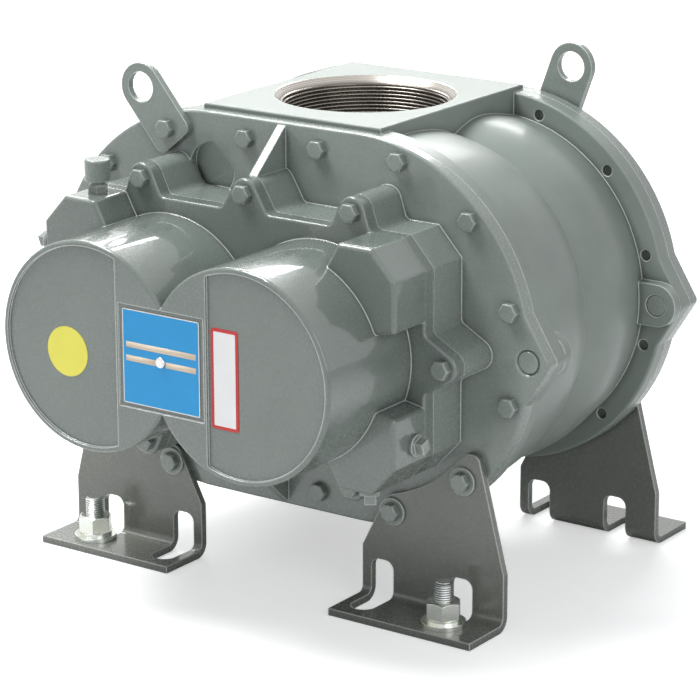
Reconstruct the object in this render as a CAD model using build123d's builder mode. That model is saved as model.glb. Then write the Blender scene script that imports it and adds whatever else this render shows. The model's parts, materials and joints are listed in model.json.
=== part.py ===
from build123d import *
import math
import os

os.makedirs("parts", exist_ok=True)

# Driving dimensions in mm. X is across, Y runs along the shafts with the gear end at -Y,
# Z is up from the floor, and the origin is under the ports.
CENTRES = 152.4
HALF_C = CENTRES / 2
SHAFT_Z = 230.0
HALF_L = 108.0
BORE_R = 114.55
PLATE_T = 12.7
PLATE_Y = HALF_L + PLATE_T
OUTLINE_R = 165.1
RECESS_R = 23.0
RECESS_DEPTH = 4.0
RECESS_TILT = 9.0
BOLT_CIRCLE_R = OUTLINE_R - 12.7
BOLT_ANGLES = (105, 75, 45, 15, -15, -45, -75, -105)
FLANGE_T = 15.0
RIM_FILLET = 2.0
BOLT_D = 9.5
BOLT_AF = 14.3
BOLT_HEAD = 6.2
THREAD_STOP = 5.0
DOWEL_R = 9.5
DOWEL_SINK = 0.4
DOWEL_OFFSET = OUTLINE_R - 1.4
DOWEL_BOSS_R = 18.5
DOWEL_BOSS_L = 10.0
EAR_TIP_R = 6.0
EAR_TIP_OFFSET = OUTLINE_R + 12.1
EAR_BASE_Z = 38.2

BOSS_HALF_X = 90.1
BOSS_TOP = OUTLINE_R + 3.7
THROAT_R = 64.0
THREAD_R = 70.65
THREAD_L = 46.0
MOUTH_R = 78.0

WALL_Y = PLATE_Y + 40.3
GASKET_T = 0.8
COVER_FLANGE_T = 12.0
COVER_JOINT_Y = WALL_Y + GASKET_T
COVER_FACE_Y = COVER_JOINT_Y + COVER_FLANGE_T
BLOCK_Y = COVER_FACE_Y + 42.2
LOBE_R = 88.3
COVER_FRONT_Y = COVER_FACE_Y + 111.5
COVER_WALL = 6.0
BLOCK_FILLET = 3.5
CASE_X = 177.0
CASE_Z = 101.0
CHAMFER_X = 22.0
CHAMFER_Z = 24.0
TAB_R = 12.5
TAB_ROOT_R = 6.0
COVER_BOLT_D = 9.5
COVER_BOLT_AF = 14.3
COVER_BOLT_HEAD = 6.2
COVER_BOLTS = ((0, 115.4), (106.4, 114.8), (194.0, 0), (106.4, -114.8),
               (0, -115.4), (-106.4, -114.8), (-194.0, 0), (-106.4, 114.8))
WEB_HALF = 45.5
POCKET_HALF = 42.8
PLATE_HALF_X = 38.6
PLATE_HALF_Z = 39.2

ROTOR_CLEAR = 0.2
ROTOR_HALF = HALF_L - ROTOR_CLEAR
SHAFT_R = 24.0
SEAL_R = 22.5
BEARING_R = 20.0
GEAR_SEAT_R = 19.0
THREAD_SEAT_R = 17.0
DRIVE_R = 17.4625
KEY_W = 7.94
KEY_L = 50.0

SEAL_Y0 = HALF_L + 4.0
SEAL_Y1 = SEAL_Y0 + 10.0
SEAL_OUTER_R = SEAL_R + 8.5
BRG_Y0 = SEAL_Y1 + 12.0
GEAR_BRG_Y1 = BRG_Y0 + 36.5
DRIVE_BRG_Y1 = BRG_Y0 + 23.0
BRG_OUTER_R = 45.0
BRG_PITCH_R = 32.5
BALL_R = 5.4
BALL_COUNT = 14
BALL_ROW_PITCH = 17.5
CAGE_INSET = 2.5
CAGE_HALF_T = 2.2
CAGE_CLEAR = 0.1
RACE_CLEAR = 0.1
BEARING_BOSS_R = 58.0
DRIVE_BOSS_Y = DRIVE_BRG_Y1 + 6.0
DRIVE_BOSS_R = 60.0
END_COVER_T = 12.0
SCREW_CIRCLE_R = 52.0

TEETH = 48
PRESSURE = math.radians(20)
PITCH_R = HALF_C
ADDENDUM = 3.175
DEDENDUM = 3.97
GEAR_Y0 = GEAR_BRG_Y1 + 25.5
GEAR_Y1 = GEAR_Y0 + 44.0
SHAFT_END_Y = GEAR_Y1 + 22.0
DRIVE_END_Y = DRIVE_BOSS_Y + 95.0
FLANK_THIN = 0.15
FOOT_X0 = 85.0
FOOT_X1 = 224.0
FOOT_T = 6.35
FOOT_END_Y = PLATE_Y + 56.3
FOOT_KINK_Z = 48.0
BEND_R = 6.0
SLOT_W = 22.0
SLOT_X = (105.0, 183.0)
SLOT_TOP_Z = 38.0
SLOT_END_Y = PLATE_Y + 44.3
WASHER_T = 2.0
WASHER_R = 12.0
STUD_R = 8.0
STUD_TOP = 44.0
NUT_AF = 26.5
NUT_H = 14.5
STUD_Y = SLOT_END_Y - 12.0
LUG_T = 6.35
LUG_CORNER_R = 7.0
LUG_R = 20.5
LUG_EYE_R = 13.0
LUG_REACH = 42.0


def face_at(y):
    """Plane square to the shafts at y: local x is X, local y is height above the shafts."""
    return Plane(origin=(0, y, SHAFT_Z), x_dir=(1, 0, 0), z_dir=(0, -1, 0))


def side_at(x):
    """Plane square to X at x: local x is Y, local y is height above the shafts."""
    return Plane(origin=(x, 0, SHAFT_Z), x_dir=(0, 1, 0), z_dir=(1, 0, 0))


def ring_point(radius, angle, side=1):
    """Point on a circle about one shaft, the angle counted up from the outer side."""
    a = math.radians(angle)
    return (side * (HALF_C + radius * math.cos(a)), radius * math.sin(a))


def tangent_point(point, centre, radius, turn):
    """Where a line from a point touches a circle, on the side that turn picks."""
    dx = centre[0] - point[0]
    dz = centre[1] - point[1]
    line = math.atan2(dz, dx) + turn * math.asin(radius / math.hypot(dx, dz))
    normal = line + turn * math.pi / 2
    return (centre[0] + radius * math.cos(normal), centre[1] + radius * math.sin(normal))


def tab(centre, radius, base_a, base_b):
    """Rounded tab from two points of an outline out to a circle."""
    Polygon(base_a, tangent_point(base_a, centre, radius, 1),
            tangent_point(base_b, centre, radius, -1), base_b, align=None)
    with Locations(centre):
        Circle(radius)


def head_outline():
    """Outline shared by the head plates and the cylinder's end flanges, with an ear each side."""
    with Locations((-HALF_C, 0), (HALF_C, 0)):
        Circle(OUTLINE_R)
    Rectangle(CENTRES, 2 * OUTLINE_R)
    for s in (-1, 1):
        tip = (s * (HALF_C + EAR_TIP_OFFSET), 0)
        base_x = s * (HALF_C + math.sqrt(OUTLINE_R**2 - EAR_BASE_Z**2) - 0.1)
        tab(tip, EAR_TIP_R, (base_x, s * EAR_BASE_Z), (base_x, -s * EAR_BASE_Z))


def case_polygon(inset):
    """Eight-sided gear case outline, shrunk by inset."""
    x = CASE_X - inset
    z = CASE_Z - inset
    cx = CHAMFER_X - 0.45 * inset
    cz = CHAMFER_Z - 0.45 * inset
    Polygon((x, -z + cz), (x, z - cz), (x - cx, z), (-x + cx, z), (-x, z - cz),
            (-x, -z + cz), (-x + cx, -z), (x - cx, -z), align=None)


def case_outline():
    """Gear case outline with a rounded tab at each of the cover's bolts."""
    with BuildSketch(Plane.XY) as outline:
        case_polygon(0)
        for s in (-1, 1):
            tab((0, s * 115.4), TAB_R, (-s * 23, s * CASE_Z), (s * 23, s * CASE_Z))
            tab((s * 194, 0), TAB_R, (s * CASE_X, s * 24), (s * CASE_X, -s * 24))
            tab((s * 106.4, s * 114.8), TAB_R, (s * 86, s * CASE_Z), (s * 124, s * CASE_Z))
            tab((s * 106.4, -s * 114.8), TAB_R, (s * 124, -s * CASE_Z), (s * 86, -s * CASE_Z))
        roots = [v for v in outline.vertices()
                 if abs(abs(v.X) - CASE_X) + abs(abs(v.Y) - 24) < 0.01
                 or (abs(abs(v.Y) - CASE_Z) < 0.01 and min(abs(abs(v.X) - x) for x in (23, 86, 124)) < 0.01)]
        fillet(roots, radius=TAB_ROOT_R)
    return outline.sketch


def block_polygon(sx, sz, inset):
    """One of the four angular blocks beside the gear lobes."""
    x = CASE_X - inset
    z = CASE_Z - inset
    low = 35 + inset
    near = 122.6 + 0.6 * inset
    Polygon((sx * 100, sz * 60), (sx * near, sz * z), (sx * (155 - 0.4 * inset), sz * z),
            (sx * x, sz * (77 - 0.4 * inset)), (sx * x, sz * low), (sx * 155, sz * (low - 4)),
            (sx * 110, sz * 40), align=None)


def hexagon(af):
    RegularPolygon(radius=af / 2, side_count=6, major_radius=False)


def lobe_curve():
    """Closed list of points round a two-lobe rotor with its long axis along local x."""
    rolling = HALF_C / 4
    quarter = []
    steps = 14
    for i in range(steps + 1):
        t = math.radians(45) * i / steps
        a = t * (HALF_C + rolling) / rolling
        x = (HALF_C + rolling) * math.cos(t) + rolling * math.cos(a)
        z = (HALF_C + rolling) * math.sin(t) + rolling * math.sin(a)
        quarter.append((x, z))
    for i in range(steps - 1, -1, -1):
        t = math.radians(45) * i / steps
        a = t * (HALF_C - rolling) / rolling
        x = (HALF_C - rolling) * math.cos(t) - rolling * math.cos(a)
        z = (HALF_C - rolling) * math.sin(t) + rolling * math.sin(a)
        quarter.append((z, x))
    pulled = []
    for i, p in enumerate(quarter):
        before = quarter[i - 1] if i else (quarter[1][0], -quarter[1][1])
        after = quarter[i + 1] if i < len(quarter) - 1 else (-quarter[i - 1][0], quarter[i - 1][1])
        dx = after[0] - before[0]
        dz = after[1] - before[1]
        size = math.hypot(dx, dz)
        pulled.append((p[0] - ROTOR_CLEAR * dz / size, p[1] + ROTOR_CLEAR * dx / size))
    return pulled


def rotor_halves(turn):
    """Upper and lower halves of the rotor outline, turned by an angle in degrees."""
    quarter = lobe_curve()
    upper = quarter + [(-x, z) for x, z in reversed(quarter[:-1])]
    lower = [(-x, -z) for x, z in upper]
    c = math.cos(math.radians(turn))
    n = math.sin(math.radians(turn))
    return [[(x * c - z * n, x * n + z * c) for x, z in half] for half in (upper, lower)]


def tooth_half_angle(radius):
    def involute(a):
        return math.tan(a) - a
    base = PITCH_R * math.cos(PRESSURE)
    thin = FLANK_THIN / PITCH_R
    return math.pi / (2 * TEETH) - thin + involute(PRESSURE) - involute(math.acos(base / radius))


def gear_sketch(first):
    radii = [PITCH_R + step for step in (-DEDENDUM, -2.4, -0.8, 0.8, 2.0, ADDENDUM)]
    points = []
    for k in range(TEETH):
        middle = math.radians(first) + 2 * math.pi * k / TEETH
        for r in radii:
            a = middle - tooth_half_angle(r)
            points.append((r * math.cos(a), r * math.sin(a)))
        for r in reversed(radii):
            a = middle + tooth_half_angle(r)
            points.append((r * math.cos(a), r * math.sin(a)))
    Polygon(*points, align=None)


def finish(builder, name):
    builder.part.label = name
    export_step(builder.part, "parts/" + name + ".step")


# Cylinder: two end flanges, the barrel, the two port bosses and the rotor bores.
BARREL_END = HALF_L - FLANGE_T + 1.0
BARREL_REAR = [(BARREL_END * part, BORE_R + wall)
               for part, wall in ((0, 30.0), (0.106, 34.0), (0.34, 39.0), (0.66, 37.0), (1, 30.5))]
BARREL_FRONT = [(-BARREL_END * part, BORE_R + wall)
                for part, wall in ((0, 30.0), (0.106, 34.5), (0.362, 40.5), (0.681, 43.5), (1, 45.0))]

with BuildPart() as cylinder:
    for y in (-HALF_L + FLANGE_T, HALF_L):
        with BuildSketch(face_at(y)):
            head_outline()
        extrude(amount=FLANGE_T)
    inner_rims = cylinder.edges().filter_by(lambda e: abs(abs(e.center().Y) - HALF_L + FLANGE_T) < 0.01)
    fillet(inner_rims, radius=RIM_FILLET)
    for s in (-1, 1):
        with BuildSketch(side_at(s * HALF_C)) as barrel_section:
            with BuildLine():
                Spline(*BARREL_REAR)
                Spline(*BARREL_FRONT)
                Polyline(BARREL_REAR[-1], (BARREL_END, 0), (-BARREL_END, 0), BARREL_FRONT[-1])
            make_face()
        revolve(axis=Axis((s * HALF_C, 0, SHAFT_Z), (0, 1, 0)), revolution_arc=360)
    for up in (-1, 1):
        with BuildSketch(side_at(-HALF_C)) as barrel_middle:
            with BuildLine():
                Spline(*[(y, up * r) for y, r in BARREL_REAR])
                Spline(*[(y, up * r) for y, r in BARREL_FRONT])
                Polyline((BARREL_END, up * BARREL_REAR[-1][1]), (BARREL_END, 0), (-BARREL_END, 0),
                         (-BARREL_END, up * BARREL_FRONT[-1][1]))
            make_face()
        extrude(amount=CENTRES)
    for y in (-HALF_L + FLANGE_T + DOWEL_BOSS_L, HALF_L - FLANGE_T):
        with BuildSketch(face_at(y)):
            for s in (-1, 1):
                with Locations((s * (HALF_C + DOWEL_OFFSET), 0)):
                    Circle(DOWEL_BOSS_R)
                with Locations((s * (HALF_C + DOWEL_OFFSET - DOWEL_BOSS_R), 0)):
                    Rectangle(2 * DOWEL_BOSS_R, 2 * DOWEL_BOSS_R)
        extrude(amount=DOWEL_BOSS_L)
    with Locations((0, 0, SHAFT_Z)):
        Box(2 * BOSS_HALF_X, 2 * HALF_L, 2 * BOSS_TOP)
    for face_edges in (cylinder.edges().group_by(Axis.Z)[-1], cylinder.edges().group_by(Axis.Z)[0]):
        fillet(face_edges, radius=1.5)
    with BuildSketch(face_at(HALF_L)):
        with Locations((-HALF_C, 0), (HALF_C, 0)):
            Circle(BORE_R)
    extrude(amount=2 * HALF_L, mode=Mode.SUBTRACT)
    with BuildSketch(Plane.XY.offset(SHAFT_Z - BOSS_TOP)):
        Circle(THROAT_R)
    extrude(amount=2 * BOSS_TOP, mode=Mode.SUBTRACT)
    for z0, d in ((SHAFT_Z + BOSS_TOP, -1), (SHAFT_Z - BOSS_TOP, 1)):
        with BuildSketch(Plane.XY.offset(z0)):
            Circle(THREAD_R)
        extrude(amount=d * THREAD_L, mode=Mode.SUBTRACT)
    with Locations((0, 0, SHAFT_Z + BOSS_TOP - 3)):
        Cone(MOUTH_R - 6, MOUTH_R, 6, mode=Mode.SUBTRACT)
    with Locations((0, 0, SHAFT_Z - BOSS_TOP + 3)):
        Cone(MOUTH_R, MOUTH_R - 6, 6, mode=Mode.SUBTRACT)
    for y in (-HALF_L + FLANGE_T, HALF_L):
        with BuildSketch(face_at(y)):
            for s in (-1, 1):
                for angle in BOLT_ANGLES:
                    with Locations(ring_point(BOLT_CIRCLE_R, angle, s)):
                        Circle(BOLT_D / 2 + 0.05)
        extrude(amount=FLANGE_T, mode=Mode.SUBTRACT)
    for y in (-HALF_L + FLANGE_T + DOWEL_BOSS_L, HALF_L):
        with BuildSketch(face_at(y)):
            with Locations((HALF_C + DOWEL_OFFSET, 0), (-HALF_C - DOWEL_OFFSET, 0)):
                Circle(DOWEL_R + 0.02)
        extrude(amount=FLANGE_T + DOWEL_BOSS_L, mode=Mode.SUBTRACT)
finish(cylinder, "cylinder")

# Gear end head plate: the plate, the raised case wall, two bearing bosses and a rib.
with BuildPart() as gear_end_head:
    with BuildSketch(face_at(-HALF_L)):
        head_outline()
    extrude(amount=PLATE_T)
    fillet(gear_end_head.edges().group_by(Axis.Y)[0], radius=RIM_FILLET)
    with Locations(Location((-72, -PLATE_Y + RECESS_DEPTH, SHAFT_Z + 117), (90 + RECESS_TILT, 0, 0))):
        with Locations(Location((0, 0, 0), (0, -RECESS_TILT, 0))):
            Cylinder(RECESS_R, RECESS_DEPTH + RECESS_R / 2, align=(Align.CENTER, Align.CENTER, Align.MIN),
                     mode=Mode.SUBTRACT)
    with BuildSketch(face_at(-PLATE_Y + 6)):
        add(case_outline())
    extrude(amount=WALL_Y - PLATE_Y + 6)
    with BuildSketch(face_at(-PLATE_Y)):
        case_polygon(9)
    extrude(amount=WALL_Y - PLATE_Y, mode=Mode.SUBTRACT)
    with BuildSketch(face_at(-PLATE_Y + 1)):
        with Locations((-HALF_C, 0), (HALF_C, 0)):
            Circle(BEARING_BOSS_R)
    extrude(amount=GEAR_BRG_Y1 - PLATE_Y + 1)
    for up in (-1, 1):
        with BuildSketch(side_at(-4)):
            Polygon((-PLATE_Y + 1, up * 164.0), (-PLATE_Y + 1, up * 100), (-WALL_Y, up * 100),
                    (-WALL_Y, up * 127.5), align=None)
        extrude(amount=8)
    for y0, y1, r in ((HALF_L, SEAL_Y0, SEAL_R + 1.5), (SEAL_Y0, SEAL_Y1, SEAL_OUTER_R),
                      (SEAL_Y1, BRG_Y0, 28.0), (BRG_Y0, GEAR_BRG_Y1, BRG_OUTER_R)):
        with BuildSketch(face_at(-y0)):
            with Locations((-HALF_C, 0), (HALF_C, 0)):
                Circle(r)
        extrude(amount=y1 - y0, mode=Mode.SUBTRACT)
    with BuildSketch(face_at(-HALF_L)):
        for s in (-1, 1):
            for angle in BOLT_ANGLES:
                with Locations(ring_point(BOLT_CIRCLE_R, angle, s)):
                    Circle(BOLT_D / 2 + 0.5)
            with Locations((s * (HALF_C + DOWEL_OFFSET), 0)):
                Circle(DOWEL_R + 0.02)
    extrude(amount=PLATE_T, mode=Mode.SUBTRACT)
    for s in (-1, 1):
        with Locations(Location((s * (HALF_C + DOWEL_OFFSET), -PLATE_Y + 1.0, SHAFT_Z), (90, 0, 0))):
            Cone(DOWEL_R + 0.02, DOWEL_R + 2.02, 2, mode=Mode.SUBTRACT)
    with BuildSketch(face_at(-WALL_Y + 25)):
        with Locations(*COVER_BOLTS):
            Circle(COVER_BOLT_D / 2 + 0.05)
    extrude(amount=25, mode=Mode.SUBTRACT)
    with BuildSketch(face_at(-GEAR_BRG_Y1 + 14)):
        for s in (-1, 1):
            with Locations((s * HALF_C, 0)):
                with PolarLocations(SCREW_CIRCLE_R - 0.5, 4, start_angle=45):
                    Circle(3.02)
    extrude(amount=14, mode=Mode.SUBTRACT)
finish(gear_end_head, "gear_end_head_plate")

# Drive end head plate with its two bearing bosses.
with BuildPart() as drive_end_head:
    with BuildSketch(face_at(PLATE_Y)):
        head_outline()
    extrude(amount=PLATE_T)
    fillet(drive_end_head.edges().group_by(Axis.Y)[-1], radius=RIM_FILLET)
    with BuildSketch(face_at(DRIVE_BOSS_Y)):
        with Locations((-HALF_C, 0), (HALF_C, 0)):
            Circle(DRIVE_BOSS_R)
    extrude(amount=DRIVE_BOSS_Y - PLATE_Y + 1)
    for s in (-1, 1):
        for angle in (60, 120, 240, 300, 0 if s > 0 else 180):
            with Locations(Location((s * HALF_C, PLATE_Y, SHAFT_Z), (0, angle, 0))):
                with Locations((82, 9, 0)):
                    Box(60, 20, 10)
    with Locations((0, PLATE_Y + 12, SHAFT_Z)):
        Box(60, 26, 44)
    for y0, y1, r in ((HALF_L, SEAL_Y0, SEAL_R + 1.5), (SEAL_Y0, SEAL_Y1, SEAL_OUTER_R),
                      (SEAL_Y1, BRG_Y0, 28.0), (BRG_Y0, DRIVE_BOSS_Y, BRG_OUTER_R)):
        with BuildSketch(face_at(y1)):
            with Locations((-HALF_C, 0), (HALF_C, 0)):
                Circle(r)
        extrude(amount=y1 - y0, mode=Mode.SUBTRACT)
    with BuildSketch(face_at(PLATE_Y)):
        for s in (-1, 1):
            for angle in BOLT_ANGLES:
                with Locations(ring_point(BOLT_CIRCLE_R, angle, s)):
                    Circle(BOLT_D / 2 + 0.5)
            with Locations((s * (HALF_C + DOWEL_OFFSET), 0)):
                Circle(DOWEL_R + 0.02)
    extrude(amount=PLATE_T, mode=Mode.SUBTRACT)
    with BuildSketch(face_at(DRIVE_BOSS_Y)):
        for s in (-1, 1):
            with Locations((s * HALF_C, 0)):
                with PolarLocations(SCREW_CIRCLE_R, 6):
                    Circle(4.05)
    extrude(amount=16, mode=Mode.SUBTRACT)
finish(drive_end_head, "drive_end_head_plate")

# Gear cover: flange, four blocks, the two gear lobes, hollow inside.
with BuildPart() as cover_blocks:
    with BuildSketch(face_at(-COVER_FACE_Y + 1)):
        for sx in (-1, 1):
            for sz in (-1, 1):
                block_polygon(sx, sz, 0)
    extrude(amount=BLOCK_Y - COVER_FACE_Y + 1)
    block_edges = cover_blocks.edges().group_by(Axis.Y)[0] + cover_blocks.edges().filter_by(Axis.Y)
    fillet(block_edges, radius=BLOCK_FILLET)

with BuildPart() as gear_cover:
    with BuildSketch(face_at(-COVER_JOINT_Y)):
        add(case_outline())
    extrude(amount=COVER_FLANGE_T)
    fillet(gear_cover.edges().group_by(Axis.Y)[0], radius=RIM_FILLET)
    add(cover_blocks.part)
    with BuildSketch(face_at(-COVER_FACE_Y + 1)):
        with Locations((-HALF_C, 0), (HALF_C, 0)):
            Circle(LOBE_R)
    extrude(amount=COVER_FRONT_Y - COVER_FACE_Y + 1)
    rim = gear_cover.edges().group_by(Axis.Y)[0]
    fillet(rim, radius=2.5)
    with BuildSketch(face_at(-COVER_JOINT_Y)):
        case_polygon(9)
    extrude(amount=COVER_FLANGE_T - 6, mode=Mode.SUBTRACT)
    with BuildSketch(face_at(-COVER_JOINT_Y)):
        for sx in (-1, 1):
            for sz in (-1, 1):
                block_polygon(sx, sz, 7)
    extrude(amount=BLOCK_Y - COVER_JOINT_Y - 7, mode=Mode.SUBTRACT)
    with BuildSketch(face_at(-COVER_JOINT_Y)):
        with Locations((-HALF_C, 0), (HALF_C, 0)):
            Circle(LOBE_R - COVER_WALL)
    extrude(amount=COVER_FRONT_Y - COVER_JOINT_Y - 8, mode=Mode.SUBTRACT)
    for s in (-1, 1):
        with BuildSketch(face_at(-COVER_FRONT_Y + 2.5)):
            with Locations((s * HALF_C, 0)):
                Circle(LOBE_R - 4.5)
            with Locations((s * (WEB_HALF + 75), 0)):
                Rectangle(150, 200, mode=Mode.INTERSECT)
        extrude(amount=2.5, mode=Mode.SUBTRACT)
    with BuildSketch(face_at(-COVER_FRONT_Y + 1.5)):
        Rectangle(2 * POCKET_HALF, 2 * POCKET_HALF)
    extrude(amount=1.5, mode=Mode.SUBTRACT)
    with BuildSketch(face_at(-COVER_FRONT_Y + 7)):
        Circle(2.02)
    extrude(amount=7, mode=Mode.SUBTRACT)
    with BuildSketch(face_at(-COVER_JOINT_Y)):
        with Locations(*COVER_BOLTS):
            Circle(COVER_BOLT_D / 2 + 0.5)
    extrude(amount=COVER_FLANGE_T, mode=Mode.SUBTRACT)
finish(gear_cover, "gear_cover")

with BuildPart() as cover_gasket:
    with BuildSketch(face_at(-WALL_Y)):
        add(case_outline())
    extrude(amount=GASKET_T)
    with BuildSketch(face_at(-WALL_Y)):
        case_polygon(9)
        with Locations(*COVER_BOLTS):
            Circle(COVER_BOLT_D / 2 + 0.5)
    extrude(amount=GASKET_T, mode=Mode.SUBTRACT)
finish(cover_gasket, "gear_cover_gasket")

# Rotors: two-lobe cycloids, a quarter turn apart, pressed on their shafts.
for name, side, turn in (("drive_rotor", 1, 0), ("driven_rotor", -1, 90)):
    with BuildPart() as rotor:
        with BuildSketch(face_at(ROTOR_HALF)):
            with BuildLine():
                for half in rotor_halves(turn):
                    Spline(*half)
            make_face()
        extrude(amount=2 * ROTOR_HALF)
        with BuildSketch(face_at(ROTOR_HALF)):
            Circle(SHAFT_R)
        extrude(amount=2 * ROTOR_HALF, mode=Mode.SUBTRACT)
    placed = rotor.part.moved(Location((side * HALF_C, 0, 0)))
    placed.label = name
    export_step(placed, "parts/" + name + ".step")

# Shafts: stepped bars from the gear nuts to the drive end.
SHAFT_STEPS = ((-ROTOR_HALF, ROTOR_HALF, SHAFT_R), (-BRG_Y0, -ROTOR_HALF, SEAL_R),
               (ROTOR_HALF, BRG_Y0, SEAL_R), (-GEAR_BRG_Y1, -BRG_Y0, BEARING_R), (BRG_Y0, DRIVE_BRG_Y1, BEARING_R),
               (-GEAR_Y1, -GEAR_BRG_Y1, GEAR_SEAT_R), (-SHAFT_END_Y, -GEAR_Y1, THREAD_SEAT_R))
for name, side in (("drive_shaft", 1), ("driven_shaft", -1)):
    with BuildPart() as shaft:
        for y0, y1, r in SHAFT_STEPS:
            with BuildSketch(face_at(y1)):
                with Locations((side * HALF_C, 0)):
                    Circle(r)
            extrude(amount=y1 - y0)
        if side > 0:
            with BuildSketch(face_at(DRIVE_END_Y)):
                with Locations((side * HALF_C, 0)):
                    Circle(DRIVE_R)
            extrude(amount=DRIVE_END_Y - DRIVE_BRG_Y1)
            chamfer(shaft.edges().group_by(Axis.Y)[-1], length=1.5)
            with Locations((side * HALF_C, DRIVE_END_Y - KEY_L / 2 - 3, SHAFT_Z + DRIVE_R)):
                Box(KEY_W, KEY_L, KEY_W, mode=Mode.SUBTRACT)
    finish(shaft, name)

with BuildPart() as shaft_key:
    with Locations((HALF_C, DRIVE_END_Y - KEY_L / 2 - 3, SHAFT_Z + DRIVE_R)):
        Box(KEY_W, KEY_L, KEY_W)
finish(shaft_key, "shaft_key")

# Timing gears in mesh: a tooth of one faces a gap of the other.
for name, side, first in (("drive_timing_gear", 1, 0), ("driven_timing_gear", -1, 180.0 / TEETH)):
    with BuildPart() as gear:
        with BuildSketch(face_at(-GEAR_Y0)):
            gear_sketch(first)
        extrude(amount=GEAR_Y1 - GEAR_Y0)
        with BuildSketch(face_at(-GEAR_BRG_Y1)):
            Circle(27.0)
        extrude(amount=GEAR_Y0 - GEAR_BRG_Y1)
        for y in (GEAR_Y0, GEAR_Y1 - 8):
            with BuildSketch(face_at(-y)):
                Circle(64)
                Circle(34, mode=Mode.SUBTRACT)
            extrude(amount=8, mode=Mode.SUBTRACT)
        with BuildSketch(face_at(-GEAR_BRG_Y1)):
            Circle(GEAR_SEAT_R)
        extrude(amount=GEAR_Y1 - GEAR_BRG_Y1, mode=Mode.SUBTRACT)
    placed = gear.part.moved(Location((side * HALF_C, 0, 0)))
    placed.label = name
    export_step(placed, "parts/" + name + ".step")

for name, side in (("drive_gear_nut", 1), ("driven_gear_nut", -1)):
    thick = 4.0 if side > 0 else 6.0
    with BuildPart() as nut:
        with BuildSketch(face_at(-GEAR_Y1 - thick)):
            with Locations((side * HALF_C, 0)):
                Circle(27)
                with PolarLocations(27, 6):
                    Rectangle(8, 7, mode=Mode.SUBTRACT)
                Circle(THREAD_SEAT_R, mode=Mode.SUBTRACT)
        extrude(amount=12)
        with BuildSketch(face_at(-GEAR_Y1 - (0 if side > 0 else 2.5))):
            with Locations((side * HALF_C, 0)):
                Circle(29)
                Circle(THREAD_SEAT_R, mode=Mode.SUBTRACT)
        extrude(amount=thick - (0 if side > 0 else 2.5))
    finish(nut, name)

with BuildPart() as oil_slinger:
    with BuildSketch(face_at(-GEAR_Y1)):
        with Locations((-HALF_C, 0)):
            Circle(81)
            Circle(THREAD_SEAT_R, mode=Mode.SUBTRACT)
    extrude(amount=2.5)
finish(oil_slinger, "oil_slinger")

# Bearings: outer rings in the housing, inner rings on the shafts, balls or rollers with a cage.
with BuildPart() as outer_rings:
    for y0, y1 in ((-GEAR_BRG_Y1, -BRG_Y0), (BRG_Y0, DRIVE_BRG_Y1)):
        with BuildSketch(face_at(y1)):
            with Locations((-HALF_C, 0), (HALF_C, 0)):
                Circle(BRG_OUTER_R)
                Circle(BRG_PITCH_R + BALL_R + RACE_CLEAR, mode=Mode.SUBTRACT)
        extrude(amount=y1 - y0)
finish(outer_rings, "bearing_outer_rings")

for name, side in (("drive_inner_rings", 1), ("driven_inner_rings", -1)):
    with BuildPart() as inner_rings:
        for y0, y1 in ((-GEAR_BRG_Y1, -BRG_Y0), (BRG_Y0, DRIVE_BRG_Y1)):
            with BuildSketch(face_at(y1)):
                with Locations((side * HALF_C, 0)):
                    Circle(BRG_PITCH_R - BALL_R - RACE_CLEAR)
                    Circle(BEARING_R, mode=Mode.SUBTRACT)
            extrude(amount=y1 - y0)
    finish(inner_rings, name)

for name, side in (("drive_ball_cage", 1), ("driven_ball_cage", -1)):
    with BuildPart() as balls:
        with BuildSketch(face_at(-BRG_Y0 - CAGE_INSET)):
            with Locations((side * HALF_C, 0)):
                Circle(BRG_PITCH_R + CAGE_HALF_T)
                Circle(BRG_PITCH_R - CAGE_HALF_T, mode=Mode.SUBTRACT)
        extrude(amount=GEAR_BRG_Y1 - BRG_Y0 - 2 * CAGE_INSET)
        spots = []
        for row in (-1, 1):
            row_y = -(BRG_Y0 + GEAR_BRG_Y1) / 2 + row * BALL_ROW_PITCH / 2
            for k in range(BALL_COUNT):
                a = 2 * math.pi * k / BALL_COUNT
                way = Vector(math.cos(a), 0, math.sin(a))
                spots.append((Vector(side * HALF_C, row_y, SHAFT_Z) + way * BRG_PITCH_R, way))
        for centre, way in spots:
            with BuildSketch(Plane(origin=centre - way * 2 * CAGE_HALF_T, z_dir=way)):
                Circle(BALL_R + CAGE_CLEAR)
            extrude(amount=4 * CAGE_HALF_T, mode=Mode.SUBTRACT)
        for centre, way in spots:
            with Locations(Location(centre)):
                Sphere(BALL_R)
    finish(balls, name)

for name, side in (("drive_roller_cage", 1), ("driven_roller_cage", -1)):
    with BuildPart() as rollers:
        for y in (BRG_Y0 + 3, DRIVE_BRG_Y1 - 1):
            with BuildSketch(face_at(y)):
                with Locations((side * HALF_C, 0)):
                    Circle(BRG_PITCH_R + 3.5)
                    Circle(BRG_PITCH_R - 3.5, mode=Mode.SUBTRACT)
            extrude(amount=2)
        with BuildSketch(face_at(DRIVE_BRG_Y1 - 3)):
            with Locations((side * HALF_C, 0)):
                with PolarLocations(BRG_PITCH_R, BALL_COUNT):
                    Circle(BALL_R)
        extrude(amount=DRIVE_BRG_Y1 - BRG_Y0 - 6)
    finish(rollers, name)

with BuildPart() as shaft_seals:
    for y in (-SEAL_Y0, SEAL_Y1):
        with BuildSketch(face_at(y)):
            with Locations((-HALF_C, 0), (HALF_C, 0)):
                Circle(SEAL_OUTER_R)
                Circle(SEAL_R + 0.05, mode=Mode.SUBTRACT)
        extrude(amount=SEAL_Y1 - SEAL_Y0)
finish(shaft_seals, "shaft_seals")

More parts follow.
